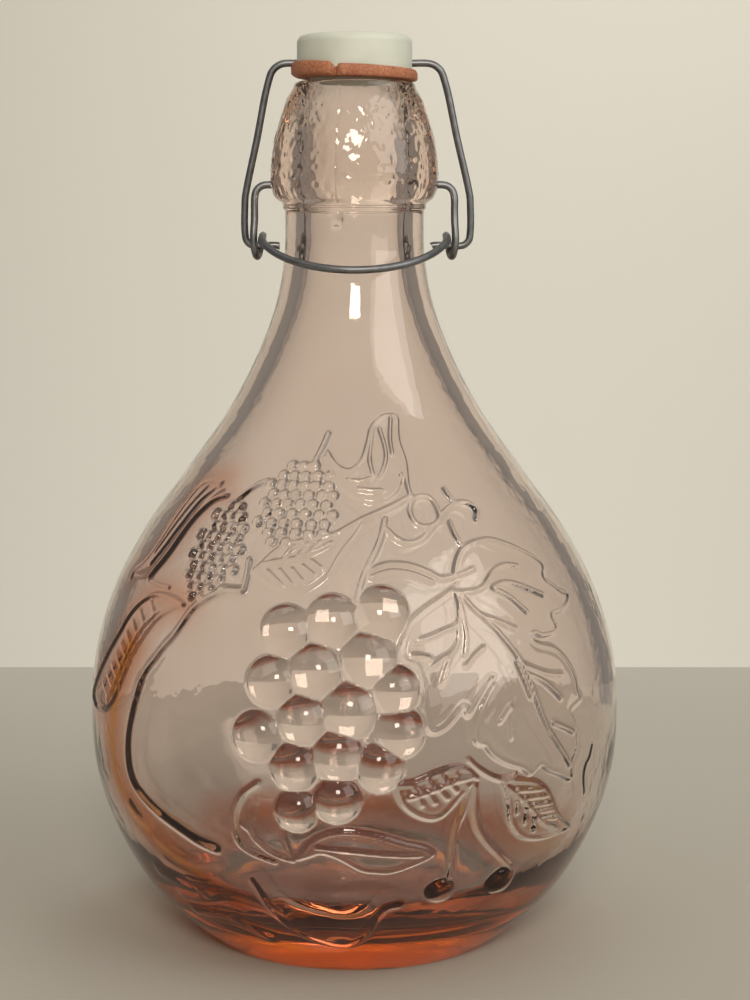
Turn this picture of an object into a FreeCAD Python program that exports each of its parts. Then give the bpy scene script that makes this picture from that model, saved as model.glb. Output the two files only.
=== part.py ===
"""Pressed-glass bottle with fruit in relief and a wire swing-top closure, in millimetres.

Five separate pieces: bottle, lever_wire, bail_wire, stopper_cap and gasket.
The origin is the centre of the ring the bottle stands on. +Z is up and the fruit faces -Y.
"""
import math
import os

import FreeCAD, Part

Vector = FreeCAD.Vector

# Bottle
FOOT_R = 53.0            # outside of the ring the bottle stands on
FOOT_INNER_R = 48.5      # inside of that ring
PUNT_H = 7.0             # rise of the hollow under the base
NECK_R = 23.3            # outside of the neck
BORE_R = 16.5            # inside of the neck
BORE_TOP_Z = 281.5       # above this the bore opens out into the mouth
MOUTH_R = 17.1           # inside of the mouth, just under its rounded edge
RIDGE_Z = 247.5          # fine ridge where the neck mould meets the body mould
RIDGE_R = 24.1
LIP_Z = 289.0            # top of the mouth
LIP_R = 20.4             # outside of the mouth just under its rounded edge

# Pivots of the closure, all parallel to X
PIVOT_Z = 255.2          # lever in the two dimples of the glass
DIMPLE_R = 1.6
DIMPLE_FLOOR_X = 24.9
EYE_Y = 1.6              # eye behind the pivot, which holds the closure shut
EYE_Z = 234.8            # bail in the lever's eyes
STOPPER_PIN_Z = 295.2    # stopper on the bail

# Wires
WIRE_R = 1.25
LEVER_TIP_X = 25.3
LEVER_TOP_X = 33.4
LEVER_LEG_X = 33.8
LEVER_BEND_R = 4.0
EYE_R = 3.5              # centre line of the eye
EYE_INNER_X = 31.0       # the eye winds inwards by a little over one wire
BOW_HALF_WIDTH = 31.6
BOW_REACH = 33.0
BOW_Z = 227.8            # lowest point of the bow, at the front
BOW_SLOPE = 0.36
BAIL_BEND_R = 6.0
BAIL_KNEE_R = 18.0
BAIL_FOOT_R = 3.6
BAIL_KNEE_Z = 251.0

# Stopper
CAP_R = 19.2
CAP_TOP_Z = 304.2
CAP_BOTTOM_Z = 292.9
CAP_EDGE_R = 2.6
PLUG_NECK_R = 14.8
PLUG_TIP_R = 12.8
PLUG_TIP_Z = 284.8
PIN_HOLE_R = 1.33        # running fit on the bail

# Gasket
GASKET_R = 21.2
GASKET_HOLE_R = 15.1
GASKET_T = 2.7
GASKET_TILT = 1.2        # degrees, left side up
GASKET_MID_Z = 291.12


def v(x, y, z):
    return Vector(x, y, z)


def spline(points, start=None, end=None):
    """A smooth curve through the points, with its end directions where given."""
    curve = Part.BSplineCurve()
    if start is None:
        curve.interpolate(points)
    else:
        curve.interpolate(Points=points, InitialTangent=start, FinalTangent=end)
    return curve.toShape()


def line(a, b):
    return Part.makeLine(a, b)


def arc(a, b, c):
    return Part.Arc(a, b, c).toShape()


def turned(edges):
    """The solid turned about Z from a closed outline in the XZ plane."""
    face = Part.Face(Part.Wire(edges))
    return face.revolve(v(0, 0, 0), v(0, 0, 1), 360)


# ---------------------------------------------------------------- bottle

# Radius and height up the outside of the body, from the foot to the neck.
BODY = [(53.0, 0.0), (61.0, 6.8), (73.2, 20.4), (82.7, 37.4), (89.3, 57.8), (90.8, 78.2),
        (88.8, 98.6), (82.5, 119.0), (71.7, 139.4), (57.0, 159.8), (42.6, 180.2),
        (32.0, 200.6), (26.2, 216.7), (23.6, 232.0), (NECK_R, 242.0)]

# Radius and height up the flank of the thick finish, from the ridge to the mouth.
FINISH = [(24.0, 248.3), (26.5, 250.9), (28.0, 254.6), (28.2, 258.5), (27.8, 263.4),
          (26.8, 270.1), (24.9, 276.7), (22.8, 283.0), (LIP_R, 287.4)]

# Radius and height of the inside, from the middle of the floor up to the bore.
INSIDE = [(0.0, 20.0), (26.0, 18.3), (46.0, 17.5), (62.0, 22.0), (74.0, 33.5), (81.0, 48.0),
          (85.2, 66.0), (85.6, 80.0), (83.2, 98.0), (76.6, 118.0), (65.4, 138.0),
          (50.2, 158.5), (35.2, 180.0), (25.2, 200.0), (19.4, 216.0), (BORE_R, 234.0)]


def at(pair, extra=0.0):
    return v(pair[0] + extra, 0, pair[1])


def outside(extra=0.0):
    """The bottle as if it were solid glass. extra thickens the body alone, for the relief."""
    body = [at(pair, extra) for pair in BODY]
    finish = [at(pair) for pair in FINISH]
    neck = at(BODY[-1], extra)
    ridge_low = v(NECK_R + extra, 0, RIDGE_Z - 0.8)
    ridge_mid = v(RIDGE_R, 0, RIDGE_Z)
    edges = [
        line(v(0, 0, 0), v(0, 0, LIP_Z)),
        line(v(0, 0, LIP_Z), v(18.9, 0, LIP_Z)),
        arc(v(18.9, 0, LIP_Z), v(20.0, 0, LIP_Z - 0.5), finish[-1]),
        spline(finish),
        line(finish[0], ridge_mid),
        line(ridge_mid, ridge_low),
        line(ridge_low, neck),
        spline(body, v(1, 0, 0.55), v(0, 0, 1)),
        line(body[0], v(0, 0, 0)),
    ]
    return turned(Part.__sortEdges__(edges))


def cavity():
    inside = [at(pair) for pair in INSIDE]
    top = LIP_Z + 3
    edges = [
        spline(inside, v(1, 0, 0), v(0, 0, 1)),
        line(inside[-1], v(BORE_R, 0, BORE_TOP_Z)),
        line(v(BORE_R, 0, BORE_TOP_Z), v(MOUTH_R, 0, LIP_Z - 1.2)),
        arc(v(MOUTH_R, 0, LIP_Z - 1.2), v(MOUTH_R + 0.3, 0, LIP_Z - 0.3), v(MOUTH_R + 1.0, 0, LIP_Z)),
        line(v(MOUTH_R + 1.0, 0, LIP_Z), v(MOUTH_R + 1.0, 0, top)),
        line(v(MOUTH_R + 1.0, 0, top), v(0, 0, top)),
        line(v(0, 0, top), inside[0]),
    ]
    return turned(Part.__sortEdges__(edges))


def punt():
    """The ball that hollows the underside, leaving the foot ring."""
    radius = (FOOT_INNER_R ** 2 + PUNT_H ** 2) / (2 * PUNT_H)
    return Part.makeSphere(radius, v(0, 0, PUNT_H - radius))


def surface_radius(z):
    """Radius of the body at a height, for seating round fruit on it."""
    for low, high in zip(BODY, BODY[1:]):
        if low[1] <= z <= high[1]:
            share = (z - low[1]) / (high[1] - low[1])
            return low[0] + share * (high[0] - low[0])
    return NECK_R


def raised(skin, outline):
    """A leaf or fruit standing proud of the body. The mould opens along Y, so its outline is in XZ."""
    corners = [v(x, -130, z) for x, z in outline]
    prism = Part.Face(Part.makePolygon(corners + corners[:1])).extrude(v(0, 130, 0))
    return skin.common(prism)


def round_fruit(x, z, radius, proud):
    """A ball sunk in the body so that it stands out by the given height."""
    reach = surface_radius(z) + proud - radius
    y = -math.sqrt(reach ** 2 - x ** 2)
    return Part.makeSphere(radius, v(x, y, z))


# Centre of each grape, seen from the front, and the radius of its ball.
GRAPES = [(-21.3, 119.5, 8.6), (-6.6, 122.9, 8.6), (8.7, 125.1, 8.8), (-25.5, 104.5, 8.4),
          (-12.0, 108.1, 8.8), (4.7, 111.4, 9.0), (-30.1, 87.7, 8.3), (-16.0, 93.5, 8.3),
          (-1.4, 96.5, 9.0), (12.6, 102.5, 8.3), (13.8, 89.7, 8.4), (-18.4, 78.7, 8.0),
          (-5.0, 82.9, 8.6), (7.7, 79.1, 8.0), (-17.9, 64.9, 7.0), (-5.3, 68.7, 7.4)]
CHERRIES = [(27.0, 36.0, 5.8), (46.5, 36.0, 6.0)]

# Outlines seen from the front, in order round each leaf or fruit.
VINE_LEAF = [(27.4, 133.4), (30.4, 138.8), (39.7, 143.7), (53.0, 139.1), (60.8, 132.9), (66.5, 124.3),
             (60.6, 118.8), (64.7, 114.1), (54.6, 115.5), (67.3, 106.2), (72.0, 93.0), (67.7, 89.4),
             (71.4, 85.0), (69.2, 66.0), (58.4, 74.7), (54.0, 71.8), (41.8, 80.4), (35.5, 86.0),
             (34.5, 94.0), (27.6, 90.2), (21.5, 89.6), (19.9, 99.3), (18.5, 109.0), (14.0, 113.0),
             (18.6, 123.1)]
VEINED_LEAF = [(-31.0, 135.9), (-23.2, 142.0), (-10.7, 147.2), (1.7, 150.3), (-1.4, 142.7),
               (-7.6, 135.6), (-16.8, 130.5), (-25.0, 130.5)]
CURLED_LEAF = [(-9.4, 167.8), (-4.6, 161.1), (3.3, 156.8), (9.6, 155.9), (14.4, 159.5), (16.0, 165.2),
               (13.9, 174.1), (13.7, 181.3), (8.0, 180.2), (4.3, 174.3), (2.4, 167.8), (-3.0, 165.5)]
LOWER_LEAVES = [
    [(12.9, 78.9), (20.0, 79.5), (34.0, 77.5), (38.0, 72.0), (33.0, 63.0), (24.0, 60.5), (15.0, 69.0)],
    [(45.5, 72.5), (55.0, 72.0), (66.0, 60.0), (69.0, 44.0), (57.0, 47.0), (47.0, 54.0)],
    [(-36.8, 66.0), (-32.0, 74.0), (-25.0, 66.0), (-22.0, 58.0), (-17.8, 48.0), (-30.0, 50.0)],
    [(-17.0, 50.5), (-8.0, 58.0), (4.0, 59.5), (15.0, 54.0), (24.0, 49.0), (10.0, 44.5), (-6.0, 45.0)],
]
PEAR = [(-34.0, 129.5), (-42.0, 128.7), (-50.0, 123.0), (-58.3, 112.5), (-65.0, 102.3), (-70.2, 91.7),
        (-73.0, 74.6), (-71.6, 61.4), (-62.1, 52.0), (-46.0, 46.0), (-34.0, 52.0), (-40.0, 72.0),
        (-36.0, 92.0), (-35.0, 112.0)]
PEACH = [(-34.0, 36.0), (-31.5, 27.0), (-20.0, 17.5), (-5.0, 14.5), (6.0, 20.0), (9.0, 30.0),
         (0.0, 41.0), (-20.0, 43.0)]

# Bramble fruit: centre, half width, half height and how many rows of beads.
BRAMBLES = [(-17.0, 155.0, 13.0, 11.5, 5), (-44.0, 140.5, 11.5, 13.5, 6)]
BEAD_R = 2.0


def beads():
    """The beads of the bramble fruit, in staggered rows inside an oval."""
    found = []
    for middle_x, middle_z, half_w, half_h, rows in BRAMBLES:
        pitch = 2 * half_h / rows
        for row in range(rows):
            z = middle_z - half_h + (row + 0.5) * pitch
            reach = half_w * math.sqrt(1 - ((z - middle_z) / half_h) ** 2)
            count = int(2 * reach / (2.1 * BEAD_R))
            for column in range(count):
                x = middle_x - reach + (column + 0.5) * 2 * reach / count
                found.append(round_fruit(x, z, BEAD_R, 1.3))
    return found


def bottle():
    glass = outside()
    low_skin = outside(1.0)
    leaves = [VINE_LEAF, VEINED_LEAF, CURLED_LEAF] + LOWER_LEAVES
    relief = [raised(low_skin, outline) for outline in leaves + [PEAR, PEACH]]
    relief += [round_fruit(x, z, radius, 4.3) for x, z, radius in GRAPES]
    relief += [round_fruit(x, z, radius, 3.0) for x, z, radius in CHERRIES]
    relief += beads()
    relief.append(Part.makeSphere(1.7, v(-6.0, -22.4, 243.6)))
    for shape in relief:
        glass = glass.fuse(shape)
    glass = glass.cut(cavity()).cut(punt())
    for side in (-1, 1):
        start = v(side * 32, 0, PIVOT_Z)
        dimple = Part.makeCylinder(DIMPLE_R, 32 - DIMPLE_FLOOR_X, start, v(-side, 0, 0))
        glass = glass.cut(dimple)
    return glass


# ---------------------------------------------------------------- wires

def bent_wire(points):
    """Round wire along one smooth centre line."""
    path = Part.Wire([spline(points)])
    along = points[1] - points[0]
    ring = Part.Wire([Part.makeCircle(WIRE_R, points[0], along)])
    return path.makePipeShell([ring], True, False)


def bend(corner, before, after, radius, steps=4):
    """Points round a bend that replaces a sharp corner."""
    towards = (before - corner).normalize()
    away = (after - corner).normalize()
    half = math.acos(max(-1.0, min(1.0, towards.dot(away)))) / 2
    centre = corner + (towards + away).normalize() * (radius / math.sin(half))
    first = corner + towards * (radius / math.tan(half)) - centre
    last = corner + away * (radius / math.tan(half)) - centre
    sweep = math.pi - 2 * half
    found = []
    for step in range(steps + 1):
        share = step / steps
        near = math.sin((1 - share) * sweep) / math.sin(sweep)
        far = math.sin(share * sweep) / math.sin(sweep)
        found.append(centre + first * near + last * far)
    return found


def lever_side(side):
    """One side of the lever: tip in the dimple, leg, and the eye wound on the leg's end."""
    tip = v(side * LEVER_TIP_X, 0, PIVOT_Z)
    corner = v(side * LEVER_TOP_X, 0, PIVOT_Z)
    leg_end = v(side * LEVER_LEG_X, EYE_Y - EYE_R, EYE_Z)
    points = [tip, v(side * 27.4, 0, PIVOT_Z)]
    points += bend(corner, tip, leg_end, LEVER_BEND_R)
    points.append(corner + (leg_end - corner) * 0.55)
    for step in range(10):
        turn = math.radians(30 * step)
        x = LEVER_LEG_X + (EYE_INNER_X - LEVER_LEG_X) * step / 9
        y = EYE_Y - EYE_R * math.cos(turn)
        z = EYE_Z - EYE_R * math.sin(turn)
        points.append(v(side * x, y, z))
    return points


def bow():
    """The round front of the lever, from the left eye to the right eye."""
    found = []
    for angle in range(-75, 76, 15):
        turn = math.radians(angle)
        drop = BOW_SLOPE * BOW_REACH * (1 - math.cos(turn))
        found.append(v(BOW_HALF_WIDTH * math.sin(turn), -BOW_REACH * math.cos(turn), BOW_Z + drop))
    return found


def lever_wire():
    left = lever_side(-1)
    right = lever_side(1)
    right.reverse()
    return bent_wire(left + bow() + right)


def bail_side(side, shoulder_x, leg_x, end_x):
    """One side of the bail, from beside the stopper down to its end inside the eye."""
    lean = EYE_Y / (STOPPER_PIN_Z - EYE_Z)
    beside = v(side * 21.5, 0, STOPPER_PIN_Z)
    shoulder = v(side * shoulder_x, 0, STOPPER_PIN_Z)
    knee = v(side * leg_x, (STOPPER_PIN_Z - BAIL_KNEE_Z) * lean, BAIL_KNEE_Z)
    foot = v(side * leg_x, EYE_Y, EYE_Z)
    end = v(side * end_x, EYE_Y, EYE_Z)
    points = [v(side * 10, 0, STOPPER_PIN_Z), beside - v(side * 1.5, 0, 0)]
    points += bend(shoulder, beside, knee, BAIL_BEND_R)
    points.append((shoulder + knee) * 0.5)
    points += bend(knee, shoulder, foot, BAIL_KNEE_R, 2)
    points += bend(foot, knee, end, BAIL_FOOT_R)
    points.append((foot + end) * 0.5)
    points.append(end)
    return points


def bail_wire():
    """The bail, which is bent a little wider on the right than on the left."""
    left = bail_side(-1, 27.3, 36.9, 25.3)
    right = bail_side(1, 28.6, 39.0, 26.0)
    left.reverse()
    return bent_wire(left + [v(0, 0, STOPPER_PIN_Z)] + right)


# ---------------------------------------------------------------- stopper

def stopper_cap():
    cap = Part.makeCylinder(CAP_R, CAP_TOP_Z - CAP_BOTTOM_Z, v(0, 0, CAP_BOTTOM_Z))
    rim = [edge for edge in cap.Edges if edge.BoundBox.ZMin > CAP_TOP_Z - 0.1]
    cap = cap.makeFillet(CAP_EDGE_R, rim)
    neck = Part.makeCylinder(PLUG_NECK_R, CAP_BOTTOM_Z - LIP_Z, v(0, 0, LIP_Z))
    tip = Part.makeCone(PLUG_TIP_R, PLUG_NECK_R, LIP_Z - PLUG_TIP_Z, v(0, 0, PLUG_TIP_Z))
    cap = cap.fuse([neck, tip]).removeSplitter()
    hole = Part.makeCylinder(PIN_HOLE_R, 2 * CAP_R + 4, v(-CAP_R - 2, 0, STOPPER_PIN_Z), v(1, 0, 0))
    return cap.cut(hole)


def gasket():
    low = v(0, 0, -GASKET_T / 2)
    ring = Part.makeCylinder(GASKET_R, GASKET_T, low).cut(Part.makeCylinder(GASKET_HOLE_R, GASKET_T, low))
    rims = [edge for edge in ring.Edges if edge.Length > 2 * math.pi * GASKET_R - 1]
    ring = ring.makeFillet(0.5, rims)
    ring.rotate(v(0, 0, 0), v(0, 1, 0), GASKET_TILT)
    ring.translate(v(0, 0, GASKET_MID_Z))
    return ring


PIECES = {
    "bottle": bottle,
    "lever_wire": lever_wire,
    "bail_wire": bail_wire,
    "stopper_cap": stopper_cap,
    "gasket": gasket,
}

os.makedirs("parts", exist_ok=True)
for name, make in PIECES.items():
    shape = make()
    solids = shape.Solids
    solids[0].exportStep("parts/" + name + ".step")
    print(name, len(solids), "solid", shape.isValid(), "%.1f cm3" % (solids[0].Volume / 1000))
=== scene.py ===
import math

import bpy
import numpy as np
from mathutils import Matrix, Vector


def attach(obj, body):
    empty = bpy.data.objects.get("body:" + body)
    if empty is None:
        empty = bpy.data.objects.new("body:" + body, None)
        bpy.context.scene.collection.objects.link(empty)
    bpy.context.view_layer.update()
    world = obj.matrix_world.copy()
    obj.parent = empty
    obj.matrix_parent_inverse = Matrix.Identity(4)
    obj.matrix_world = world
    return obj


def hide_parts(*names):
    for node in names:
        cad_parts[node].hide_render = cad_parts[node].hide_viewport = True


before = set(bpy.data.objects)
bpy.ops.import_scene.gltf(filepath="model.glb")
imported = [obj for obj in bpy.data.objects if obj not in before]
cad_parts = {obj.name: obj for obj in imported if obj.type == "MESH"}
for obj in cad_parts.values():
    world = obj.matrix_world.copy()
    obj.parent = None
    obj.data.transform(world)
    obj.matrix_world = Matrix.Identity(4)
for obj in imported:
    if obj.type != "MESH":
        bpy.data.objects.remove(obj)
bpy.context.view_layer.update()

MM = 0.001

# The glass, in millimetres: radius and height up the outside of the body, from the foot to the neck.
BODY = [(53, 0), (61, 6.8), (73.2, 20.4), (82.7, 37.4), (89.3, 57.8), (90.75, 78.2), (88.8, 98.6),
        (82.5, 119), (71.7, 139.4), (57, 159.8), (42.6, 180.2), (32, 200.6), (26.2, 216.7),
        (23.6, 232), (23.3, 242), (23.3, 246.2)]
# The thick finish round the mouth, from the mould's joint line to the rounded lip.
FINISH = [(23.4, 246.7), (24.1, 247.5), (24, 248.3), (26.5, 250.9), (28, 254.6), (28.2, 258.5),
          (27.8, 263.4), (26.8, 270.1), (24.9, 276.7), (22.8, 283), (20.4, 287.4), (20, 288.5),
          (18.9, 289)]
# The inside, from the mouth down to the middle of the floor.
INSIDE = [(18.1, 289), (17.4, 288.7), (17.1, 287.8), (16.5, 281.5), (16.5, 258), (16.5, 234),
          (19.4, 216), (25.2, 200), (35.2, 180), (50.2, 158.5), (65.4, 138), (76.6, 118), (83.2, 98),
          (85.6, 80), (85.2, 66), (81, 48), (74, 33.5), (62, 22), (46, 17.5), (26, 18.3), (0, 20)]
FOOT_INNER_R = 48.5
PUNT_H = 7.0
RELIEF_LOW, RELIEF_HIGH = 11, 184        # heights between which the fruit stands
SHALLOW_SIDE = -44                       # azimuth left of which the leaves are cut shallower
DIMPLE_Z, DIMPLE_R, DIMPLE_DEPTH = 255.2, 1.95, 3.2
SEAM_AZIMUTH = -13.5                     # where the two halves of the mould met
HAMMER_MARKS = 2600                      # on the finish

# The rubber ring.
RING_HOLE_R, RING_RIM_R, RING_HALF_THICKNESS = 15.15, 21.1, 1.32
SPLIT_AZIMUTH = -18.4

# The floor's far edge and the backdrop, in metres behind the bottle.
FLOOR_EDGE_Y, BACKDROP_Y = 0.385, 1.4


def linear(hex_colour):
    """An sRGB hex colour as the linear colour that a shader works in."""
    parts = [int(hex_colour[i:i + 2], 16) / 255 for i in (1, 3, 5)]
    return [p / 12.92 if p <= 0.04045 else ((p + 0.055) / 1.055) ** 2.4 for p in parts] + [1.0]


def add(tree, kind, sockets=(), **settings):
    """Adds a node with its settings. Each socket takes a value, or the output that feeds it."""
    made = tree.nodes.new(kind)
    for name, value in settings.items():
        setattr(made, name, value)
    for name, value in dict(sockets).items():
        if isinstance(value, bpy.types.NodeSocket):
            tree.links.new(value, made.inputs[name])
        else:
            made.inputs[name].default_value = value
    return made


def new_material(name):
    made = bpy.data.materials.new(name)
    made.use_nodes = True
    made.node_tree.nodes.clear()
    return made, made.node_tree


# ---------------------------------------------------------------- materials

def pressed_pink_glass():
    """Soda-lime glass tinted peach pink and pressed in an iron mould.

    The tint is in the real glass itself, so a wall of 6 mm looks nearly clear and the thick heel a deep
    orange. Here absorption gives a part of that. The rest is a tint drawn on the skin, deepest where
    its attribute is 1, with 8 per cent of matt colour there for a little cloud. Up the left edge and in
    the two leaves there, the drawn tint is painted shade: that side is drawn deeper and browner because
    it is in shade. The mould leaves a fire-polished skin with a slow waviness, about 5 mm from crest to
    crest.
    """
    made, tree = new_material("pressed pink glass")
    place = add(tree, "ShaderNodeTexCoord").outputs["Object"]
    depth = add(tree, "ShaderNodeAttribute", attribute_name="tint_and_painted_shade").outputs["Fac"]
    # Pale where the glass is thin, deep orange at the thick heel, and deep orange as painted shade up the
    # shaded left edge.
    skin_tint_and_shade = add(tree, "ShaderNodeMix", {
        "Factor": depth, "A": linear("#f6f0ee"), "B": linear("#d86e00")}, data_type="RGBA").outputs["Result"]
    waves = add(tree, "ShaderNodeTexNoise", {"Vector": place, "Scale": 200.0, "Detail": 1.0}).outputs["Fac"]
    bump = add(tree, "ShaderNodeBump", {"Height": waves, "Strength": 0.25, "Distance": 0.0002})
    clearness = add(tree, "ShaderNodeMapRange", {
        "Value": depth, "To Min": 1.0, "To Max": 0.92}).outputs["Result"]
    glass = add(tree, "ShaderNodeBsdfPrincipled", {
        "Base Color": skin_tint_and_shade, "Roughness": 0.02, "IOR": 1.52,
        "Transmission Weight": clearness, "Normal": bump.outputs["Normal"]})
    tint = add(tree, "ShaderNodeVolumeAbsorption", {"Color": linear("#fbae20"), "Density": 10.0})
    add(tree, "ShaderNodeOutputMaterial", {
        "Surface": glass.outputs["BSDF"], "Volume": tint.outputs["Volume"]})
    return made


def galvanised_wire():
    """Hard-drawn steel wire with a zinc coat: dull grey, with soft blotches about 3 mm wide where the
    zinc has dulled, and fine drawing scratches."""
    made, tree = new_material("galvanised wire")
    place = add(tree, "ShaderNodeTexCoord").outputs["Object"]
    blotch = add(tree, "ShaderNodeTexNoise", {"Vector": place, "Scale": 330.0, "Detail": 3.0}).outputs["Fac"]
    grain = add(tree, "ShaderNodeTexNoise", {"Vector": place, "Scale": 2500.0, "Detail": 2.0}).outputs["Fac"]
    colour = add(tree, "ShaderNodeMix", {"Factor": blotch, "A": linear("#66686b"), "B": linear("#95979a")},
                 data_type="RGBA")
    rough = add(tree, "ShaderNodeMapRange", {"Value": blotch, "To Min": 0.30, "To Max": 0.52})
    bump = add(tree, "ShaderNodeBump", {"Height": grain, "Strength": 0.4, "Distance": 0.00005})
    zinc = add(tree, "ShaderNodeBsdfPrincipled", {
        "Base Color": colour.outputs["Result"], "Metallic": 1.0,
        "Roughness": rough.outputs["Result"], "Normal": bump.outputs["Normal"]})
    add(tree, "ShaderNodeOutputMaterial", {"Surface": zinc.outputs["BSDF"]})
    return made


def moulded_white_plastic():
    """Injection-moulded polypropylene, milky white gone slightly green: waxy, so light goes a little
    way in, with a fine mould grain of about 0.5 mm and faint handling marks."""
    made, tree = new_material("moulded white plastic")
    place = add(tree, "ShaderNodeTexCoord").outputs["Object"]
    marks = add(tree, "ShaderNodeTexNoise", {"Vector": place, "Scale": 120.0, "Detail": 4.0}).outputs["Fac"]
    grain = add(tree, "ShaderNodeTexNoise", {"Vector": place, "Scale": 2000.0, "Detail": 1.0}).outputs["Fac"]
    colour = add(tree, "ShaderNodeMix", {"Factor": marks, "A": linear("#c9cec0"), "B": linear("#dfe3d8")},
                 data_type="RGBA")
    rough = add(tree, "ShaderNodeMapRange", {"Value": marks, "To Min": 0.34, "To Max": 0.48})
    bump = add(tree, "ShaderNodeBump", {"Height": grain, "Strength": 0.2, "Distance": 0.00004})
    plastic = add(tree, "ShaderNodeBsdfPrincipled", {
        "Base Color": colour.outputs["Result"], "Roughness": rough.outputs["Result"], "IOR": 1.49,
        "Subsurface Weight": 0.15, "Subsurface Radius": (0.003, 0.0028, 0.002),
        "Normal": bump.outputs["Normal"]})
    add(tree, "ShaderNodeOutputMaterial", {"Surface": plastic.outputs["BSDF"]})
    return made


def aged_orange_rubber():
    """Natural rubber with brick-orange filler, cut from a moulded tube: dull and chalky, darker where
    it has perished, with a net of fine cracks about 1.5 mm apart."""
    made, tree = new_material("aged orange rubber")
    place = add(tree, "ShaderNodeTexCoord").outputs["Object"]
    mottle = add(tree, "ShaderNodeTexNoise", {"Vector": place, "Scale": 260.0, "Detail": 5.0}).outputs["Fac"]
    cracks = add(tree, "ShaderNodeTexVoronoi", {"Vector": place, "Scale": 650.0},
                 feature="DISTANCE_TO_EDGE").outputs["Distance"]
    crack_depth = add(tree, "ShaderNodeMapRange", {"Value": cracks, "From Max": 0.08}).outputs["Result"]
    body = add(tree, "ShaderNodeMix", {"Factor": mottle, "A": linear("#9b5a3e"), "B": linear("#cf8f6b")},
               data_type="RGBA").outputs["Result"]
    colour = add(tree, "ShaderNodeMix", {"Factor": crack_depth, "A": linear("#8f4f34"), "B": body},
                 data_type="RGBA")
    bump = add(tree, "ShaderNodeBump", {"Height": crack_depth, "Strength": 0.25, "Distance": 0.0001})
    rubber = add(tree, "ShaderNodeBsdfPrincipled", {
        "Base Color": colour.outputs["Result"], "Roughness": 0.62, "IOR": 1.52,
        "Normal": bump.outputs["Normal"]})
    add(tree, "ShaderNodeOutputMaterial", {"Surface": rubber.outputs["BSDF"]})
    return made


def plain_surface(name, hex_colour):
    """Matt paper for the floor and the backdrop."""
    made, tree = new_material(name)
    paper = add(tree, "ShaderNodeBsdfPrincipled", {"Base Color": linear(hex_colour), "Roughness": 0.85})
    add(tree, "ShaderNodeOutputMaterial", {"Surface": paper.outputs["BSDF"]})
    return made


# ---------------------------------------------------------------- outlines of the relief

# Each is a line of (azimuth in degrees, height in mm) round the body. Azimuth 0 faces -Y.

VINE_LEAF_EDGE = [
    (24, 133.5), (25.5, 138), (28, 141.5), (31.5, 143), (35, 143.5), (38.5, 143.5), (43, 141.5), (47.5, 139),
    (52, 135.5), (53.5, 133), (50.5, 130), (53.5, 127.5), (55.5, 125), (59, 123.5), (57, 121), (53.5, 119.5),
    (49, 119.5), (49, 117.5), (50, 115), (48, 113.5), (44, 113.5), (41.5, 115.5), (40.5, 113.5), (42, 111.5),
    (47, 109.5), (49.5, 106), (51.5, 102), (52.5, 98), (52.5, 94), (54, 91.5), (51, 90.5), (48.5, 89),
    (50.5, 85), (51.5, 80.5), (51, 75.5), (49, 72), (50.5, 65.5), (46, 69.5), (42, 72), (40, 75),
    (38.5, 73.5), (37, 71.5), (35.5, 74.5), (32, 76.5), (29, 79), (27, 82), (26.5, 84), (24, 85),
    (24, 89), (24.5, 92.5), (26, 97), (28.5, 102)]
VINE_LEAF_LEFT = [
    (23, 130.5), (19.5, 128), (17, 126.5), (14.5, 124.5), (12, 122), (11, 119.5), (10, 116.5), (9.5, 113.5),
    (10, 111), (12, 110), (13, 109), (13.5, 105), (14, 101.5), (13.5, 98), (14, 94), (14.5, 90),
    (15.5, 89), (18, 90.5), (20, 93.5), (22, 97), (22.5, 93), (24, 95), (25.5, 98.5), (28.5, 103.5)]
CURLED_LEAF_TOP = [
    (-10, 170.5), (-7.5, 167.5), (-4.5, 165.5), (-1.5, 165), (1, 166.5), (3, 168.5), (5, 173), (6.5, 177.5),
    (9.5, 180), (13, 181.5), (19, 181.5), (17.5, 177), (17, 173), (18, 169.5), (18, 166), (17, 161),
    (17.5, 157.5)]
CURLED_LEAF_BOTTOM = [
    (-11, 169), (-8.5, 165.5), (-5.5, 161.5), (-1.5, 158.5), (2.5, 156.5), (7, 156), (11, 157.5), (14, 160),
    (15.5, 163.5)]
VEINED_LEAF_TOP = [
    (-25, 135.5), (-23, 138), (-21.5, 140.5), (-18.5, 143.5), (-14.5, 145), (-9, 146), (-5, 147), (-2, 149),
    (1.5, 151)]
VEINED_LEAF_BOTTOM = [
    (-25, 135.5), (-22, 133.5), (-19, 131.5), (-15, 130.5), (-12, 131), (-9.5, 133), (-7, 135.5),
    (-5.5, 139.5), (-3.5, 143.5), (-1, 146.5), (1.5, 150.5)]
UPPER_LEFT_LEAF_OUT = [
    (-48.5, 159.5), (-53, 159.5), (-58, 158.5), (-60, 155.5), (-61, 151), (-61.5, 146.5), (-62, 141.5),
    (-63, 136.5), (-65, 132), (-69, 129), (-69, 126.5)]
UPPER_LEFT_LEAF_IN = [
    (-43, 156), (-47.5, 154.5), (-51, 150), (-52.5, 146), (-53.5, 141.5), (-55, 136), (-57, 132),
    (-58.5, 128.5)]
LEFT_LEAF_OUT = [
    (-42, 123.5), (-44.5, 124.5), (-48, 125), (-51.5, 125), (-55, 123.5), (-58.5, 120), (-61, 115.5),
    (-62.5, 110.5), (-65.5, 104.5), (-68.5, 98), (-72.5, 90.5), (-75, 85.5), (-71, 83)]
LEFT_LEAF_IN = [
    (-71, 83), (-65.5, 84.5), (-61.5, 87.5), (-59, 92.5), (-57, 98), (-56, 103.5), (-54, 108.5),
    (-51.5, 114), (-49, 118.5), (-45.5, 121.5), (-42, 123.5)]
LOWER_LEAF_TOP = [
    (-11.5, 49), (-9.5, 53.5), (-7, 57), (-3, 59), (1.5, 58.5), (6, 56.5), (10, 54), (14.5, 52), (16, 50)]
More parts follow.
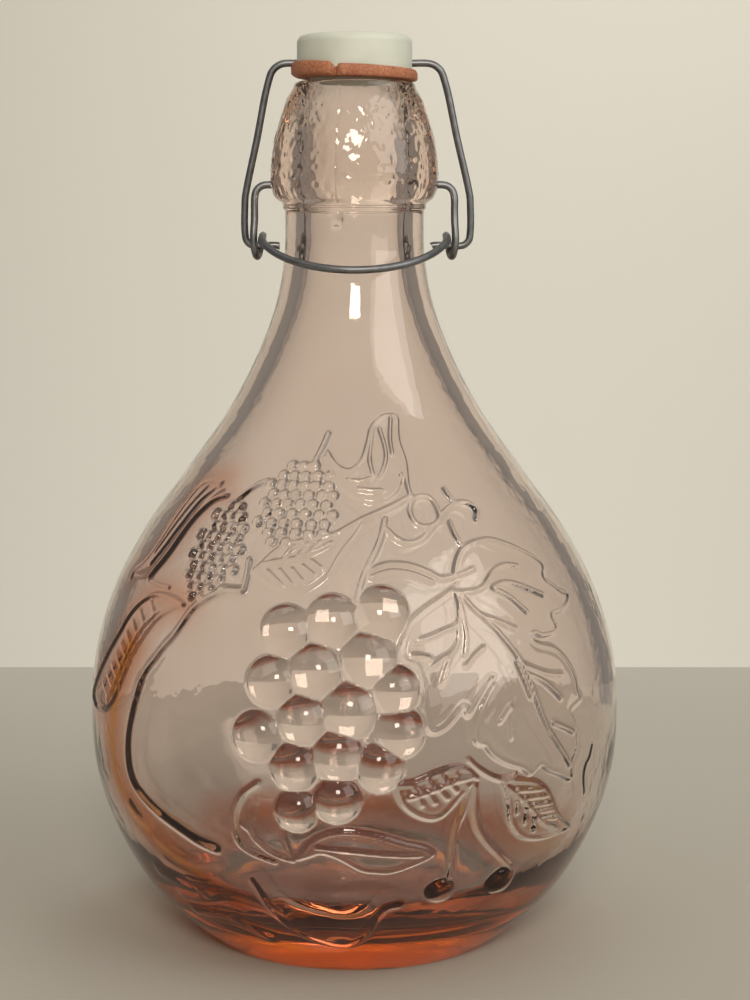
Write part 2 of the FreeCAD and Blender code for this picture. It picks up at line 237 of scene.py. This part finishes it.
LOWER_LEAF_BOTTOM = [
    (-11.5, 49), (-9, 50.5), (-7, 52), (-4.5, 51), (-2.5, 49.5), (-0.5, 47.5), (1.5, 45.5), (4, 45),
    (7, 44.5), (9.5, 45.5), (12, 47), (14.5, 48.5), (16, 50)]
CHERRY_LEAF_TOP = [(8, 74), (11, 73.5), (14, 75.5), (16.5, 77), (20, 78), (22.5, 77), (24.5, 73.5)]
CHERRY_LEAF_BOTTOM = [
    (8, 73.5), (9, 68.5), (10.5, 65.5), (13, 63), (15.5, 62), (17.5, 63), (19, 65.5), (21, 69), (23.5, 72.5)]
RIGHT_LEAF_OUT = [
    (30.5, 72), (34.5, 71), (39, 69), (42, 65.5), (44, 61), (45.5, 56.5), (48.5, 52.5), (52.5, 49)]
RIGHT_LEAF_IN = [
    (30.5, 71.5), (32, 65), (32.5, 59.5), (34, 55), (36.5, 51.5), (40, 49.5), (44.5, 48.5), (49, 48.5),
    (52.5, 48.5)]
FOLDED_LEAF = [
    (-19, 73), (-22, 69.5), (-23.5, 65.5), (-24.5, 61), (-24.5, 56), (-24, 52.5), (-22.5, 50), (-20, 48.5),
    (-16.5, 47)]
PEAR_SHOULDER = [
    (-27, 129.5), (-30.5, 129.5), (-33, 128.5), (-35.5, 126.5), (-38, 124), (-39.5, 121), (-40.5, 118),
    (-42, 114), (-44.5, 110), (-46, 106.5), (-48, 103), (-49.5, 98.5)]
PEAR_BELLY = [
    (-49.5, 98.5), (-50.5, 93.5), (-51.5, 88), (-52.5, 81.5), (-53, 75), (-52.5, 68.5), (-51, 64),
    (-48.5, 61), (-44.5, 57.5), (-41.5, 55.5), (-37.5, 53), (-34, 50.5), (-30, 49)]
PEACH = [
    (-22.5, 39), (-21, 33.5), (-20, 29), (-17, 23.5), (-14, 19.5), (-9.5, 16.5), (-4, 14), (0, 15),
    (3, 19.5), (4.5, 24), (6, 29), (7.5, 31), (10, 31.5)]

LEAF_EDGES = [
    VINE_LEAF_EDGE, VINE_LEAF_LEFT, CURLED_LEAF_TOP, CURLED_LEAF_BOTTOM, VEINED_LEAF_TOP,
    VEINED_LEAF_BOTTOM, UPPER_LEFT_LEAF_OUT, UPPER_LEFT_LEAF_IN, LEFT_LEAF_OUT, LEFT_LEAF_IN,
    LOWER_LEAF_TOP, LOWER_LEAF_BOTTOM, CHERRY_LEAF_TOP, CHERRY_LEAF_BOTTOM, RIGHT_LEAF_OUT,
    RIGHT_LEAF_IN, FOLDED_LEAF,
    [(22.5, 80), (24, 77.5), (26.5, 74.5), (29, 72.5), (31, 71.5), (33.5, 73)],
    [(-58.5, 128), (-54, 127.5), (-49, 127.5)]]

STEMS = [
    [(-10.5, 176), (-13, 169.5), (-15.5, 165.5)],
    [(2, 151), (7, 153), (12, 155), (17.5, 157.5)],
    [(8.5, 151), (7, 146), (5, 141.5), (2, 135.5), (0.5, 128.5)],
    [(-27, 138.5), (-26.5, 134.5), (-26.5, 129.5)],
    [(22.5, 71.5), (22, 64.5), (20.5, 59.5), (20, 52.5), (20.5, 45), (20.5, 41)],
    [(24, 71.5), (24, 65), (24.5, 60.5), (25.5, 56.5), (28, 51.5), (31.5, 46.5), (36, 40.5)]]

TENDRILS = [
    [(8.5, 148.5), (11.5, 145), (14.5, 144), (18, 145), (20.5, 147.5), (24, 150), (28, 153.5), (33.5, 155),
     (37, 154), (38.5, 152), (36.5, 149.5)],
    [(25, 151), (25, 154), (23.5, 157), (20.5, 157.5), (17.5, 156.5), (16, 153.5), (16.5, 150.5),
     (18.5, 148.5), (21.5, 148.5), (24.5, 150)],
    [(27.5, 149.5), (27.5, 146.5), (28.5, 143)],
    [(29.5, 159), (31, 155.5)],
    [(-38.5, 154.5), (-36.5, 157), (-34, 159.5), (-29.5, 161.5)],
    [(4, 137), (7.5, 138.5), (11.5, 138.5), (15, 137.5), (18.5, 135.5), (20.5, 133.5), (23.5, 134)],
    [(4, 135), (7.5, 136.5), (11, 136.5), (14.5, 135.5), (18.5, 133)]]

VEINS = [
    # vine leaf
    [(23, 129.5), (26, 129), (30.5, 129.5), (33.5, 133), (36, 135), (39.5, 135.5), (43, 134.5)],
    [(33, 129.5), (35.5, 130.5), (38.5, 130.5), (42.5, 128.5), (48, 125)],
    [(33.5, 129), (36, 127.5), (38, 125.5), (41, 121)],
    [(24, 129.5), (25.5, 127), (27, 124), (28.5, 122), (31.5, 120.5), (36.5, 117)],
    [(28.5, 122), (31, 118.5), (33, 114.5), (35, 110.5), (36.5, 106.5), (37.5, 102.5), (38.5, 97.5),
     (39.5, 92), (41.5, 85.5), (44, 80.5), (46.5, 75.5), (48.5, 71.5)],
    [(35, 107.5), (36.5, 101), (37.5, 96.5)],
    [(36.5, 106.5), (39, 104.5), (43, 102), (47, 101)],
    [(37.5, 103.5), (41.5, 100.5), (44, 97), (46, 94)],
    [(43, 87), (46, 85), (49.5, 82)],
    [(23.5, 129), (23.5, 124), (22.5, 120), (19.5, 119), (16.5, 117.5), (14, 116.5)],
    [(22.5, 120), (22, 115), (20, 112), (18, 111), (16, 109)],
    [(24, 127.5), (24, 121.5), (24, 116), (23, 111.5)],
    [(27.5, 113), (25, 111), (23, 108)],
    [(20, 112), (19, 109), (17.5, 103.5)],
    [(12, 112), (14, 112), (15.5, 111)],
    [(29.5, 90.5), (31, 93), (32.5, 95.5), (32, 90.5), (32, 85)],
    [(24.5, 134), (27, 134.5), (29.5, 135.5)],
    # curled leaf
    [(10, 177), (11, 173), (11.5, 169.5), (10, 165.5), (8, 163)],
    [(15.5, 181), (13.5, 174), (13.5, 169.5)],
    [(7.5, 177.5), (6, 172), (5, 168), (6, 163.5)],
    [(-2.5, 162), (2, 161.5), (5, 162.5)],
    [(1, 159.5), (5, 159), (8.5, 159)],
    # veined leaf
    [(-23, 137.5), (-19, 138.5), (-14.5, 139.5), (-11, 141), (-8.5, 142.5), (-6, 144)],
    [(-21, 135.5), (-16.5, 131.5)], [(-18, 136), (-14.5, 132)], [(-15, 136.5), (-12, 133)],
    [(-12.5, 137.5), (-9.5, 135)], [(-10.5, 139), (-8, 137)], [(-17.5, 139.5), (-15.5, 143)],
    [(-14, 140), (-12, 144)], [(-11, 141.5), (-9, 144.5)],
    # leaves down the left side
    [(-50, 157), (-53.5, 153.5), (-55, 149), (-56.5, 143.5), (-58, 138), (-60.5, 132.5)],
    [(-44.5, 123), (-49.5, 120), (-53.5, 114.5), (-55.5, 109), (-57.5, 102), (-60, 94.5), (-63.5, 88)],
    [(-46, 157.5), (-50, 153.5), (-51.5, 149), (-53, 143), (-54.5, 138)],
    [(-54, 157.5), (-57, 152), (-58.5, 146.5), (-60, 140.5), (-61.5, 136)],
    # folded leaf and lower leaf
    [(-22.5, 59), (-21, 57), (-20.5, 54.5), (-19, 52.5), (-17.5, 50.5), (-15.5, 49), (-12.5, 48)],
    [(-15, 64), (-14.5, 60.5), (-14, 56.5), (-13.5, 52.5), (-12.5, 48)],
    [(-7.5, 53.5), (-2, 53), (3, 52), (8, 51), (13.5, 50.5)],
    # cherry leaf
    [(10.5, 69.5), (14, 71), (17, 72.5), (20, 74), (23.5, 74.5)],
    [(12, 70.5), (13, 67)], [(14, 71), (15.5, 67.5)], [(16, 72), (18, 68.5)], [(18.5, 73), (20, 70.5)],
    [(12.5, 70.5), (11.5, 73)], [(15, 71.5), (14.5, 74.5)], [(17.5, 73), (17, 76)], [(20, 74), (20, 76.5)],
    # right leaf
    [(31, 70), (33.5, 66.5), (36, 63.5), (38.5, 59.5), (41.5, 55), (46.5, 51.5)],
    [(33.5, 68), (40.5, 66.5)], [(35.5, 65), (42, 64)], [(38, 62), (43.5, 61)], [(39.5, 59.5), (45, 58.5)],
    [(41.5, 56.5), (46.5, 55)], [(34, 64.5), (34, 60.5)], [(36.5, 61.5), (36.5, 56.5)],
    [(39, 58), (39.5, 53)]]

HEEL_FOLDS = [
    [(-55, 55.5), (-52.5, 52.5), (-49.5, 51.5)],
    [(-46.5, 47), (-44.5, 45.5), (-41, 43), (-38, 42), (-34, 42.5), (-31, 44)],
    [(-52, 33), (-47, 31.5), (-42, 30.5), (-37.5, 31)],
    [(-46, 27), (-41.5, 27), (-35.5, 31)],
    [(-44.5, 20.5), (-38.5, 21.5), (-34, 23), (-30, 21.5), (-26.5, 18.5), (-23.5, 16)]]

# Azimuth, height and radius of each grape, then of each cherry.
GRAPES = [(-15, 119.5, 7.5), (-5, 122.9, 7.6), (6, 125.1, 7.8), (-17, 104.5, 7.3), (-8, 108.1, 7.8),
          (3, 111.4, 8.1), (-19.5, 87.7, 7.2), (-10.2, 93.5, 7.2), (-1, 96.5, 8.1), (8, 102.5, 7.2),
          (8.8, 89.7, 7.3), (-11.7, 78.7, 6.9), (-3.2, 82.9, 7.5), (4.9, 79.1, 6.9), (-11.4, 64.9, 6.0),
          (-3.4, 68.7, 6.5)]
CHERRIES = [(19, 36, 5.1), (34.3, 36, 5.4)]
# Azimuth, height, half width, half height and rows of drupelets of each bramble fruit.
BRAMBLES = [(-17, 155.1, 12.6, 11, 8), (-38, 139.8, 10.5, 13.5, 9)]


# ---------------------------------------------------------------- shape of the glass

def smooth_profile(points, step):
    """A smooth run of points through the given ones, about step apart."""
    p = np.array(points, float)
    gaps = np.linalg.norm(np.diff(p, axis=0), axis=1)
    slopes = np.diff(p, axis=0) / gaps[:, None]
    tangents = np.vstack([
        slopes[:1],
        (slopes[:-1] * gaps[1:, None] + slopes[1:] * gaps[:-1, None]) / (gaps[1:] + gaps[:-1])[:, None],
        slopes[-1:]])
    run = [p[:1]]
    for i, gap in enumerate(gaps):
        count = max(1, int(round(gap / step)))
        t = np.arange(1, count + 1)[:, None] / count
        run.append((2 * t**3 - 3 * t**2 + 1) * p[i] + (t**3 - 2 * t**2 + t) * gap * tangents[i]
                   + (3 * t**2 - 2 * t**3) * p[i + 1] + (t**3 - t**2) * gap * tangents[i + 1])
    return np.vstack(run)


def outer_profile():
    """Radius and height of the rows up the outside, fine where the fruit stands."""
    body = smooth_profile(BODY, 0.25)
    lengths = np.concatenate([[0], np.cumsum(np.linalg.norm(np.diff(body, axis=0), axis=1))])
    low, high = np.interp([RELIEF_LOW, RELIEF_HIGH], body[:, 1], lengths)
    stops = np.concatenate([
        np.linspace(0, low, 8, endpoint=False),
        np.linspace(low, high, int((high - low) / 0.62), endpoint=False),
        np.linspace(high, lengths[-1], 30)])
    rows = np.column_stack([np.interp(stops, lengths, body[:, 0]), np.interp(stops, lengths, body[:, 1])])
    return np.vstack([rows, smooth_profile(FINISH, 0.5)])


outside = outer_profile()
columns = np.concatenate([np.arange(-180, -96, 2.4), np.arange(-96, 62, 0.4), np.arange(62, 84, 2.4),
                          np.arange(84, 96, 0.4), np.arange(96, 180, 2.4)])


def on_skin(azimuth, height):
    """Points of the plain outside at these azimuths in degrees and heights."""
    radius = np.interp(height, outside[:, 1], outside[:, 0])
    turn = np.radians(azimuth)
    return np.stack([radius * np.sin(turn), -radius * np.cos(turn), height + 0 * turn], axis=-1)


skin = on_skin(columns[None, :], outside[:, 1][:, None])
relief = np.zeros(skin.shape[:2])
dimples = np.zeros(skin.shape[:2])


def rounded(path, passes=2):
    """The path with its corners cut, so that it runs like a drawn line."""
    p = np.array(path, float)
    for _ in range(passes):
        near, far = 0.75 * p[:-1] + 0.25 * p[1:], 0.25 * p[:-1] + 0.75 * p[1:]
        p = np.vstack([p[:1], np.stack([near, far], 1).reshape(-1, 2), p[-1:]])
    return p


def window(path, reach):
    """The block of the surface within reach of the path."""
    radius = np.interp(path[:, 1].mean(), outside[:, 1], outside[:, 0])
    aside = math.degrees(reach / radius) * 1.3
    low, high = path[:, 1].min() - reach, path[:, 1].max() + reach
    left, right = path[:, 0].min() - aside, path[:, 0].max() + aside
    rows = np.nonzero((outside[:, 1] > low) & (outside[:, 1] < high))[0]
    cols = np.nonzero((columns > left) & (columns < right))[0]
    return np.s_[rows[0]:rows[-1] + 1, cols[0]:cols[-1] + 1]


def distance(block, path):
    """How far each point of the block is from the path, in millimetres."""
    corners = on_skin(path[:, 0], path[:, 1])
    nearest = np.full(skin[block].shape[:2], 1e9)
    for a, b in zip(corners, corners[1:]):
        along = b - a
        share = np.clip(((skin[block] - a) @ along) / max(along @ along, 1e-9), 0, 1)
        nearest = np.minimum(nearest, np.linalg.norm(skin[block] - a - share[..., None] * along, axis=2))
    return nearest


def inside(block, outline):
    """Which points of the block are inside the outline."""
    rows, cols = block
    a, z = np.meshgrid(columns[cols], outside[rows, 1])
    within = np.zeros(a.shape, bool)
    for (a1, z1), (a2, z2) in zip(outline, np.roll(outline, -1, axis=0)):
        crosses = (z1 > z) != (z2 > z)
        within ^= crosses & (a < (a2 - a1) * (z - z1) / (z2 - z1 if z2 != z1 else 1e-9) + a1)
    return within


def raise_line(lines, path, width, height):
    """A rounded ridge along the path, rounded off at both ends."""
    path = rounded(path)
    block = window(path, 2.5 * width)
    d = distance(block, path)
    lines[block] = np.maximum(lines[block], height * np.exp(-(d / (0.5 * width)) ** 2))


def raise_cushion(outline, height, edge):
    """A leaf raised all over, falling steeply at its edge."""
    outline = rounded(outline)
    block = window(outline, 1.0)
    closed = np.vstack([outline, outline[:1]])
    d = distance(block, closed)
    lift = np.where(inside(block, outline), height * (1 - np.exp(-d / edge)), 0)
    relief[block] = np.maximum(relief[block], lift)


def raise_swelling(edge_path, closing, height, fade):
    """A large fruit: steep at its drawn edge, then sinking slowly back into the body."""
    path = rounded(edge_path)
    back = np.array([path[-1].tolist()] + closing + [path[0].tolist()], float)
    outline = np.vstack([path, back[1:-1]])
    block = window(outline, 1.0)
    d = distance(block, path)
    lift = height * (1 - np.exp(-d / 1.6)) * np.exp(-(d / fade) ** 2)
    lift = lift * (1 - np.exp(-distance(block, back) / 9))
    lift = np.where(inside(block, outline), lift, 0)
    relief[block] = np.maximum(relief[block], lift)


def raise_dome(azimuth, height, radius, proud):
    """A ball of fruit standing out of the body, round where it meets it, with this radius."""
    ball = (radius ** 2 + proud ** 2) / (2 * proud)
    centre = np.array([[azimuth, height]], float)
    block = window(centre, radius + 1)
    d = np.linalg.norm(skin[block] - on_skin(azimuth, height), axis=2)
    lift = np.sqrt(np.maximum(ball ** 2 - d ** 2, 0)) - (ball - proud)
    relief[block] = np.maximum(relief[block], lift)


def build_relief():
    global relief
    raise_swelling(PEAR_SHOULDER + PEAR_BELLY[1:], [(-22, 50), (-15, 90), (-20, 128)], 1.2, 24)
    raise_swelling(PEACH, [(8, 40), (-8, 44), (-22, 42)], 1.0, 16)
    for top, bottom in [
            (VINE_LEAF_EDGE, VINE_LEAF_LEFT), (CURLED_LEAF_TOP, CURLED_LEAF_BOTTOM),
            (VEINED_LEAF_TOP, VEINED_LEAF_BOTTOM), (UPPER_LEFT_LEAF_OUT, UPPER_LEFT_LEAF_IN),
            (LEFT_LEAF_OUT, LEFT_LEAF_IN[::-1]), (LOWER_LEAF_TOP, LOWER_LEAF_BOTTOM),
            (CHERRY_LEAF_TOP, CHERRY_LEAF_BOTTOM), (RIGHT_LEAF_OUT, RIGHT_LEAF_IN)]:
        height, edge = (1.1, 0.9) if top[-1][0] > SHALLOW_SIDE else (0.8, 2.0)
        raise_cushion(top + bottom[::-1], height, edge)
    lines = np.zeros_like(relief)
    for path in LEAF_EDGES:
        raise_line(lines, path, 1.3, 1.15 if path[0][0] > SHALLOW_SIDE else 0.5)
    for path in VEINS:
        raise_line(lines, path, 1.1, 1.05 if path[0][0] > SHALLOW_SIDE else 0.35)
    for i in range(9):
        z = 119 - 3.7 * i
        middle = np.interp(z, [88, 94.5, 102, 109, 114.5, 120], [-63.5, -60, -57.5, -55.5, -53.5, -49.5])
        raise_line(lines, [(middle, z), (middle - 3.2, z + 3.4)], 1.0, 0.35)
        raise_line(lines, [(middle, z), (middle + 2.6, z + 2.2)], 1.0, 0.35)
    for path in STEMS:
        raise_line(lines, path, 1.9, 1.3)
    for path in TENDRILS:
        raise_line(lines, path, 1.6, 1.1)
    for path in HEEL_FOLDS:
        raise_line(lines, path, 5.5, 0.55)
    raise_line(lines, [(58.5, 74.5), (57.5, 70.5), (55.5, 68.5), (55.5, 64), (57, 59)], 1.2, 0.35)
    raise_line(lines, PEAR_SHOULDER, 2.6, 1.7)
    raise_line(lines, PEAR_BELLY, 3.4, 1.9)
    raise_line(lines, PEACH, 2.2, 0.9)
    relief = relief + lines
    for azimuth, height, radius in GRAPES:
        raise_dome(azimuth, height, radius + 0.9, 4.0)
    for azimuth, height, radius in CHERRIES:
        raise_dome(azimuth, height, radius, 2.6)
    chance = np.random.RandomState(7)
    for azimuth, height, half_width, half_height, rows in BRAMBLES:
        radius = np.interp(height, outside[:, 1], outside[:, 0])
        pitch = 2 * half_height / rows
        for i in range(rows + 1):
            z = -half_height + i * pitch
            half = half_width * math.sqrt(max(1 - (z / (half_height + 1.5)) ** 2, 0))
            count = max(1, int(round(2 * half / 4.1)))
            for j in range(count):
                x = (j - (count - 1) / 2) * 4.1 + (1.0 if i % 2 else -1.05) + chance.uniform(-0.35, 0.35)
                raise_dome(azimuth + math.degrees(x / radius), height + z + chance.uniform(-0.2, 0.2),
                           2.15, 1.8)
    # The nub of the mould just under the joint line.
    raise_dome(-14.5, 244.0, 2.3, 1.5)
    # The finish was pressed in a hammered mould.
    on_finish = (outside[:, 1] > 249) & (outside[:, 1] < 286.5)
    for _ in range(HAMMER_MARKS):
        azimuth, height = chance.uniform(-180, 180), chance.uniform(251, 285)
        size, lift = chance.uniform(0.6, 1.1), chance.uniform(-0.15, 0.15)
        rows = on_finish & (np.abs(outside[:, 1] - height) < 4)
        away = (columns - azimuth + 180) % 360 - 180
        d = np.hypot(np.radians(away)[None, :] * 26, (outside[rows, 1] - height)[:, None])
        relief[rows] += lift * np.exp(-(d / size) ** 2)
    relief[on_finish] += 0.14 * np.exp(-((columns - SEAM_AZIMUTH) / 1.3) ** 2)
    # The two dimples that the tips of the lever turn in.
    for azimuth in (-90, 90):
        block = window(np.array([[azimuth, DIMPLE_Z]], float), 3)
        d = np.hypot(skin[block][..., 1], skin[block][..., 2] - DIMPLE_Z)
        relief[block] *= np.clip((d - DIMPLE_R) / 0.8, 0, 1)
        dimples[block] = DIMPLE_DEPTH * np.clip((DIMPLE_R - d) / 0.25, 0, 1)


def tint_and_painted_shade():
    """How deep the glass's colour is drawn at each point of the outside: full at the heel, where the glass
    is thick, and up the left edge and in the two leaves there, where it is painted shade on the shaded side."""
    a, z = np.meshgrid(columns, outside[:, 1])
    turn = np.radians(a)
    front = np.clip(1 + 2.5 * np.cos(turn), 0, 1)
    top = (28 + 4 * front + 17 * front * np.sin(turn) ** 2
           + 2.5 * np.sin(7 * turn) + 1.5 * np.sin(17 * turn + 0.7))
    share = np.clip((top - z) / 20, 0, 1)
    depth = share ** 2 * (3 - 2 * share)
    # Painted shade: the left side, which is in shade, is drawn with a deeper, browner tint.
    painted_shade_band = [(-56, 108), (-59, 96), (-61, 84), (-61, 70), (-57, 58), (-50, 48), (-40, 40), (-28, 30)]
    for path, reach, most in [
            (painted_shade_band, 11, 1.0), (UPPER_LEFT_LEAF_OUT, 8, 0.65), (UPPER_LEFT_LEAF_IN, 6, 0.5),
            (LEFT_LEAF_OUT, 9, 0.7), (LEFT_LEAF_IN, 6, 0.6)]:
        line = rounded(path)
        block = window(line, 2.5 * reach)
        depth[block] = np.maximum(depth[block], most * np.exp(-(distance(block, line) / reach) ** 2))
    return depth


def glass_mesh():
    """The bottle as one closed skin: up the outside, over the lip, down the inside and under the base."""
    build_relief()
    slope = np.gradient(outside, axis=0)
    slope /= np.linalg.norm(slope, axis=1)[:, None]
    turn = np.radians(columns)[None, :]
    out_r = outside[:, 0][:, None] + relief * slope[:, 1][:, None] - dimples
    out_z = outside[:, 1][:, None] - relief * slope[:, 0][:, None]
    cavity = smooth_profile(INSIDE, 3.0)[:-1]
    ball = (FOOT_INNER_R ** 2 + PUNT_H ** 2) / (2 * PUNT_H)
    under_r = np.linspace(6, FOOT_INNER_R, 10)
    under = np.column_stack([under_r, PUNT_H - ball + np.sqrt(ball ** 2 - under_r ** 2)])
    ones = np.ones_like(turn)
    radius = np.vstack([under[:, :1] * ones, out_r, cavity[:, :1] * ones])
    height = np.vstack([under[:, 1:] * ones, out_z, cavity[:, 1:] * ones])
    grid = np.stack([radius * np.sin(turn), -radius * np.cos(turn), height], axis=-1)
    rows, cols = grid.shape[:2]
    points = np.vstack([grid.reshape(-1, 3), [[0, 0, PUNT_H], [0, 0, INSIDE[-1][1]]]]) * MM
    index = np.arange(rows * cols).reshape(rows, cols)
    right = np.roll(index, -1, axis=1)
    quads = np.stack([index[:-1], right[:-1], right[1:], index[1:]], axis=-1).reshape(-1, 4)
    low_fan = np.stack([np.full(cols, rows * cols), right[0], index[0]], axis=-1)
    high_fan = np.stack([np.full(cols, rows * cols + 1), index[-1], right[-1]], axis=-1)
    mesh = bpy.data.meshes.new("bottle_glass")
    mesh.from_pydata(points.tolist(), [], quads.tolist() + low_fan.tolist() + high_fan.tolist())
    mesh.update()
    mesh.polygons.foreach_set("use_smooth", np.ones(len(mesh.polygons), bool))
    tint = np.zeros(rows * cols + 2)
    tint[:len(under) * cols] = 1
    inner = np.repeat(np.clip((30 - cavity[:, 1]) / 12, 0, 1), cols)
    tint[-2 - len(inner):-2] = inner
    tint[-2:] = 1
    tint[len(under) * cols:(len(under) + len(outside)) * cols] = tint_and_painted_shade().ravel()
    mesh.attributes.new("tint_and_painted_shade", "FLOAT", "POINT").data.foreach_set("value", tint.astype(np.float32))
    return mesh


def new_object(name, mesh, material):
    made = bpy.data.objects.new(name, mesh)
    bpy.context.scene.collection.objects.link(made)
    mesh.materials.append(material)
    return made


bottle = new_object("embossed_bottle", glass_mesh(), pressed_pink_glass())
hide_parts("bottle")
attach(bottle, "glass")


# ---------------------------------------------------------------- rubber ring

def gasket_mesh():
    """A flat rubber ring that has perished: its rim curls up on the left, is split at the front and sags
    on the right."""
    steps, ring = 240, []
    section = [(0, -1), (0.04, -1), (0.5, -1), (0.75, -1), (0.93, -1), (1, -0.75), (1, 0), (1, 0.75),
               (0.95, 1), (0.91, 1), (0.86, 1), (0.75, 1), (0.5, 1), (0.04, 1), (0, 0.9), (0, 0)]
    for i in range(steps):
        azimuth = -180 + 360 * i / steps
        turn = math.radians(azimuth)
        side = math.sin(turn)
        split = math.exp(-((azimuth - SPLIT_AZIMUTH) / 2.4) ** 2)
        outer = RING_RIM_R - 1.8 * split + 0.12 * math.sin(7 * turn + 1)
        seat = 291.1 - 0.4 * side
        lift = 0.65 - 0.6 * side
        if SPLIT_AZIMUTH < azimuth < 60:
            lift -= 0.8 * math.exp(-(azimuth - SPLIT_AZIMUTH) / 30)
        by_the_pin = math.exp(-((abs(azimuth) - 90) / 9) ** 2)
        brim = (1.15 - 0.55 * side) * (1 - by_the_pin) * (1 - split)
        row = []
        for across, up in section:
            r = RING_HOLE_R + (outer - RING_HOLE_R) * across
            curl = max(0, (r - 18.6) / 2.5) ** 1.5
            z = seat + lift * curl + RING_HALF_THICKNESS * up * (1 - 0.25 * split * curl)
            if across > 0.9:
                z += brim * (up + 1) / 2
            row.append((r * math.sin(turn) * MM, -r * math.cos(turn) * MM, z * MM))
        ring.append(row)
    n = len(section)
    points = [p for row in ring for p in row]
    faces = [(i * n + j, i * n + (j + 1) % n, (i + 1) % steps * n + (j + 1) % n, (i + 1) % steps * n + j)
             for i in range(steps) for j in range(n)]
    mesh = bpy.data.meshes.new("rubber_ring")
    mesh.from_pydata(points, [], faces)
    mesh.polygons.foreach_set("use_smooth", [True] * len(mesh.polygons))
    mesh.update()
    return mesh


ring = new_object("perished_rubber_ring", gasket_mesh(), aged_orange_rubber())
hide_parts("gasket")
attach(ring, "stopper")

zinc = galvanised_wire()
for name, finish in {"lever_wire": zinc, "bail_wire": zinc, "stopper_cap": moulded_white_plastic()}.items():
    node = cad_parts[name]
    node.data.materials.clear()
    node.data.materials.append(finish)


# ---------------------------------------------------------------- floor, light and camera

def flat_sheet(name, corners, material):
    mesh = bpy.data.meshes.new(name)
    mesh.from_pydata(corners, [], [(0, 1, 2, 3)])
    made = new_object(name, mesh, material)
    return made


flat_sheet("floor", [(-3, -3, 0), (3, -3, 0), (3, FLOOR_EDGE_Y, 0), (-3, FLOOR_EDGE_Y, 0)],
           plain_surface("floor paper", "#b4b0a6"))
flat_sheet("backdrop", [(-0.75, BACKDROP_Y, -1), (0.75, BACKDROP_Y, -1), (0.75, BACKDROP_Y, 2.0),
                        (-0.75, BACKDROP_Y, 2.0)], plain_surface("backdrop paper", "#d9d6cb"))


def soft_box(name, place, aim, width, height, watts, hex_colour, spread=180):
    lamp = bpy.data.lights.new(name, "AREA")
    lamp.shape, lamp.size, lamp.size_y = "RECTANGLE", width, height
    lamp.energy, lamp.color = watts, linear(hex_colour)[:3]
    lamp.spread = math.radians(spread)
    made = bpy.data.objects.new(name, lamp)
    bpy.context.scene.collection.objects.link(made)
    made.location = place
    made.rotation_euler = (Vector(aim) - Vector(place)).to_track_quat("-Z", "Y").to_euler()
    return made


soft_box("window", (1.5, -1.1, 1.1), (0, 0, 0.15), 1.5, 1.5, 17, "#fffaf2")
soft_box("wall wash", (0.5, 0.8, 1.6), (0.1, 1.4, -0.1), 1.2, 0.4, 5.3, "#fffcf7", 90)
soft_box("low wall wash", (0.1, 0.7, -0.9), (0, 1.4, 0.3), 1.4, 0.4, 2.9, "#fffcf7", 110)
soft_box("lamp by the camera", (0.03, -1.5, 0.95), (0, 0, 0.2), 0.42, 0.42, 11, "#fff2e2")

world = bpy.data.worlds.new("room")
world.use_nodes = True
world.node_tree.nodes.clear()
upward = add(world.node_tree, "ShaderNodeSeparateXYZ", {
    "Vector": add(world.node_tree, "ShaderNodeTexCoord").outputs["Generated"]}).outputs["Z"]
ceiling = add(world.node_tree, "ShaderNodeMapRange", {
    "Value": upward, "From Min": 0.4, "From Max": 0.8, "To Min": 0.28, "To Max": 0.75},
    interpolation_type="SMOOTHSTEP").outputs["Result"]
room = add(world.node_tree, "ShaderNodeBackground", {"Color": linear("#e4dfd6"), "Strength": ceiling})
add(world.node_tree, "ShaderNodeOutputWorld", {"Surface": room.outputs["Background"]})
bpy.context.scene.world = world

lens = bpy.data.cameras.new("camera")
lens.sensor_width, lens.lens = 36, 72
lens.shift_x = 0.0205
camera = bpy.data.objects.new("camera", lens)
bpy.context.scene.collection.objects.link(camera)
camera.location = (0, -0.680, 0.2475)
camera.rotation_euler = (math.radians(90 - 8.306), 0, 0)
bpy.context.scene.camera = camera
bpy.context.scene.view_settings.view_transform = "Standard"
bpy.context.scene.cycles.max_bounces = 24
bpy.context.scene.cycles.transmission_bounces = 24
